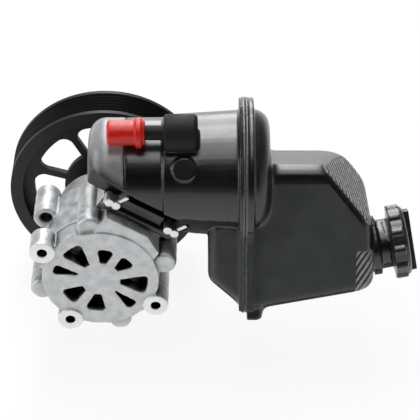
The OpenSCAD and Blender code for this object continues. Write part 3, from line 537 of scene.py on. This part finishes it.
# Slanted face: shallow diagonal ribs, pressed into the moulding. The way gives their run over the face.
slant_pitch, slant_depth = 0.0032, 0.0009
slant_way = (0.85, 0.5)
reach, across, height = on_slant(points)
slant_out = (math.cos(slant_lean) * (math.cos(slant_turn) * tank_along + math.sin(slant_turn) * tank_up)
             + math.sin(slant_lean) * tank_out)
ribbed = fade(height + slant_skin, width=0.0008) * fade(slant_half - np.abs(out), width=0.003)
pressed = slant_depth * ribbed * grooves(slant_way[0] * across + slant_way[1] * out, slant_pitch)
points = points - slant_out * pressed[:, None]

# Lower far corner: coarser grip ribs, pressed in from the front and steeper than the corner's diagonal.
grip_pitch, grip_depth = 0.004, 0.0011
grip_slope = 0.66
grip_from, grip_top, grip_bottom, grip_back = 0.1725, -0.046, -0.086, 0.021
gripped = (fade(along - grip_from, width=0.002) * fade(grip_top - up, width=0.003)
           * fade(up - grip_bottom, width=0.003) * fade(out - grip_back, width=0.003))
pressed = grip_depth * gripped * grooves(along - grip_slope * up, grip_pitch)
points = points - tank_out * pressed[:, None]
move_points(tank_filler_half, points)

box_panel_top = -0.001
shoulder_to = 0.1165
shoulder_out = 0.0306
slant_border = 0.0135


def box_panel(points, facing):
    """The flat front of the box and of its flange, inside a polished border at the top and the slanted face."""
    along, up, out = in_tank(points)
    reach, across, height = on_slant(points)
    shoulder = (along < shoulder_to) & (up > heel_panel_top) & (out > shoulder_out)
    return (out > panel_out) & (up < box_panel_top) & (reach < slant_border) & ~shoulder


def slanted_face(points, facing):
    """The ribbed face across the upper corner."""
    along, up, out = in_tank(points)
    reach, across, height = on_slant(points)
    return (height > -slant_skin - 0.0005) & (np.abs(out) < slant_half - 0.0025)


def grip_corner(points, facing):
    """The ribbed lower far corner, whose ribs get the same painted light and shade."""
    along, up, out = in_tank(points)
    beside = (along > grip_from + 0.0013) & (out > grip_back + 0.0015)
    return beside & (up < grip_top - 0.0015) & (up > grip_bottom + 0.0015)


# Ribs with painted light: pale grey rib tops stand in for the light the slanted face catches, and the
# grooves are painted shade, near black.
ribs_painted_light = surface("ribs_painted_light", "#7E7E80", "#A8A8AB", patch_mm=2.5, rough=(0.35, 0.55), grain_mm=0.6,
                        grain_depth_mm=0.05, edge_mm=0.3, IOR=1.6)
rib_top, rib_floor = 0.53, 0.47
rib_height = put(ribs_painted_light.node_tree, "NewGeometry").outputs["Pointiness"]
tint(ribs_painted_light, "#0E0E0F", rib_height, rib_top, rib_floor)

lighten(tank_filler_half, 0.6)
dress(tank_filler_half, black_nylon)
paint(tank_filler_half, matt_nylon, underside)
paint(tank_filler_half, grained_nylon, box_panel)
# The ribbed faces get painted light on the rib tops and painted shade in the grooves.
paint(tank_filler_half, ribs_painted_light, slanted_face)
paint(tank_filler_half, ribs_painted_light, grip_corner)
# The flash bead gets the painted highlight.
paint(tank_filler_half, flash_painted_highlight, flash)
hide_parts("tank_filler_half")
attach(tank_filler_half, "pump")


# Clips
# Two folded spring clips hold the foot on the saddle's rails; each ends in two rolls and a release tab.
# They are sheet steel, bent and then zinc plated.

for side in ("left", "right"):
    clip = soften("clip_" + side, "clip_%s_sheet" % side, voxel_mm=0.3, rounds=2)
    lighten(clip, 0.5)
    dress(clip, zinc_steel)
    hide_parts("clip_" + side)
    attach(clip, "pump")


# Strainer, filler cap and dipstick
# The strainer stands in the tank over the suction port. The cap plugs the neck on a rubber gasket and
# carries the dipstick.

# Natural nylon of strainer and dipstick: milky, with a soft gloss.
pale_nylon = surface("pale_nylon", "#D8D4C6", "#E6E2D6", patch_mm=8, rough=(0.35, 0.5), grain_mm=0.5,
                     grain_depth_mm=0.01, edge_mm=0.3)
dress(nodes["suction_strainer"], pale_nylon)
dress(nodes["dipstick"], pale_nylon)
# Black cap plastic: a little greyer and duller than the tank.
cap_plastic = surface("cap_plastic", "#0E0E0E", "#171716", patch_mm=9, rough=(0.3, 0.42), grain_mm=0.5,
                      grain_depth_mm=0.01, edge_mm=0.4, IOR=1.53,
                      **{"Coat Weight": 0.4, "Coat IOR": 1.53, "Coat Roughness": 0.26})
filler_cap = soften("filler_cap", "filler_cap_moulding", voxel_mm=0.5, rounds=4)
lighten(filler_cap, 0.5)
dress(filler_cap, cap_plastic)
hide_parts("filler_cap")
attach(filler_cap, "cap")


# Shipping cap
# A soft red vinyl cap pushed over the return nipple until the pump is fitted. It is made by dipping, so
# its edges are round.

# Dipped vinyl: strong red with a soft gloss.
red_vinyl = surface("red_vinyl", "#C2140A", "#D81F12", patch_mm=6, rough=(0.3, 0.42), grain_mm=0.8,
                    grain_depth_mm=0.02, edge_mm=0.5)
shipping_cap = soften("shipping_cap", "shipping_cap_vinyl", voxel_mm=0.5, rounds=5)
lighten(shipping_cap, 0.6)
dress(shipping_cap, red_vinyl)
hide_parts("shipping_cap")
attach(shipping_cap, "ship_cap")


# Studio
# A white paper floor, two long lamps overhead, one behind and one at the left. The room behind the camera
# is dark, and the black plastic mirrors it.

scene = bpy.context.scene
scene.view_settings.view_transform = "Standard"

# White paper: seen as white, and it keeps a soft shadow.
floor_glow = 0.88
paper = bpy.data.materials.new("white_paper")
paper.use_nodes = True
tree = paper.node_tree
tree.nodes.clear()
matt = put(tree, "BsdfDiffuse", {"Color": linear("#F4F4F4")})
glow = put(tree, "Emission", {"Color": linear("#FFFFFF"), "Strength": 1.0})
path = put(tree, "LightPath").outputs
seen = put(tree, "Math", {0: path["Is Camera Ray"], 1: path["Is Glossy Ray"]}, operation="MAXIMUM")
seen = put(tree, "Math", {0: seen.outputs[0], 1: path["Is Transmission Ray"]}, operation="MAXIMUM")
share = put(tree, "Math", {0: seen.outputs[0], 1: floor_glow}, operation="MULTIPLY")
mixed = put(tree, "MixShader", {0: share.outputs[0], 1: matt.outputs[0], 2: glow.outputs[0]})
put(tree, "OutputMaterial", {"Surface": mixed.outputs[0]})

floor_half = 8.0
floor_height = box_at_load[0][2] - 0.0005
floor_mesh = bpy.data.meshes.new("floor")
floor_mesh.from_pydata([(x * floor_half, y * floor_half, floor_height)
                        for x, y in ((-1, -1), (1, -1), (1, 1), (-1, 1))], [], [(0, 1, 2, 3)])
floor_mesh.materials.append(paper)
floor = bpy.data.objects.new("floor", floor_mesh)
scene.collection.objects.link(floor)

# The room: grey walls that darken upwards, and far darker in front of the part than behind it.
world = bpy.data.worlds.new("studio")
scene.world = world
world.use_nodes = True
tree = world.node_tree
tree.nodes.clear()
way = put(tree, "SeparateXYZ", {0: put(tree, "TexCoord").outputs["Generated"]}).outputs
wall = put(tree, "MapRange", {"Value": way["Z"], "From Min": 0.15, "From Max": 0.45,
                              "To Min": 0.5, "To Max": 0.16})
lit = put(tree, "MapRange", {"Value": way["Y"], "From Min": -0.8, "From Max": -0.5, "To Min": 0.08})
level = put(tree, "Math", {0: wall.outputs[0], 1: lit.outputs[0]}, operation="MULTIPLY")
sky = put(tree, "Background", {"Color": linear("#FFFFFF"), "Strength": level.outputs[0]})
put(tree, "OutputWorld", {"Surface": sky.outputs[0]})


def lamp(name, place, target, width, length, radiance):
    """A soft rectangular lamp with a given radiance, aimed at a point, its length in the view's depth."""
    data = bpy.data.lights.new(name, "AREA")
    data.shape = "RECTANGLE"
    data.size = width
    data.size_y = length
    data.energy = radiance * math.pi * width * length
    made = bpy.data.objects.new(name, data)
    scene.collection.objects.link(made)
    made.location = place
    made.rotation_euler = (Vector(target) - Vector(place)).to_track_quat("-Z", "Y").to_euler()


lamp("overhead", (-0.05, 1.65, 3.0), (-0.05, 1.65, 0.0), width=0.75, length=2.3, radiance=12.5)
lamp("front_overhead", (-0.05, -0.6, 3.0), (-0.05, -0.6, 0.0), width=0.75, length=2.2, radiance=4.6)
lamp("behind", (-0.05, 3.0, 1.7), (-0.05, -0.05, 0.05), width=1.0, length=2.8, radiance=5.5)
lamp("left", (-2.5, -0.7, 1.25), (0.0, -0.08, 0.0), width=2.2, length=1.8, radiance=2.6)

# The camera looks down at the part's rear from a little over a metre.
view_target = Vector((0.075, -0.060, 0.0194))
view_height = math.radians(38)
view_distance = 1.2
frame_half = 0.147
sensor_mm = 36
camera_data = bpy.data.cameras.new("photo_camera")
camera_data.sensor_width = sensor_mm
camera_data.lens = sensor_mm * view_distance / (2 * frame_half)
camera = bpy.data.objects.new("photo_camera", camera_data)
scene.collection.objects.link(camera)
towards = Vector((0, -math.cos(view_height), math.sin(view_height)))
camera.location = view_target + towards * view_distance
camera.rotation_euler = (-towards).to_track_quat("-Z", "Y").to_euler()
scene.camera = camera
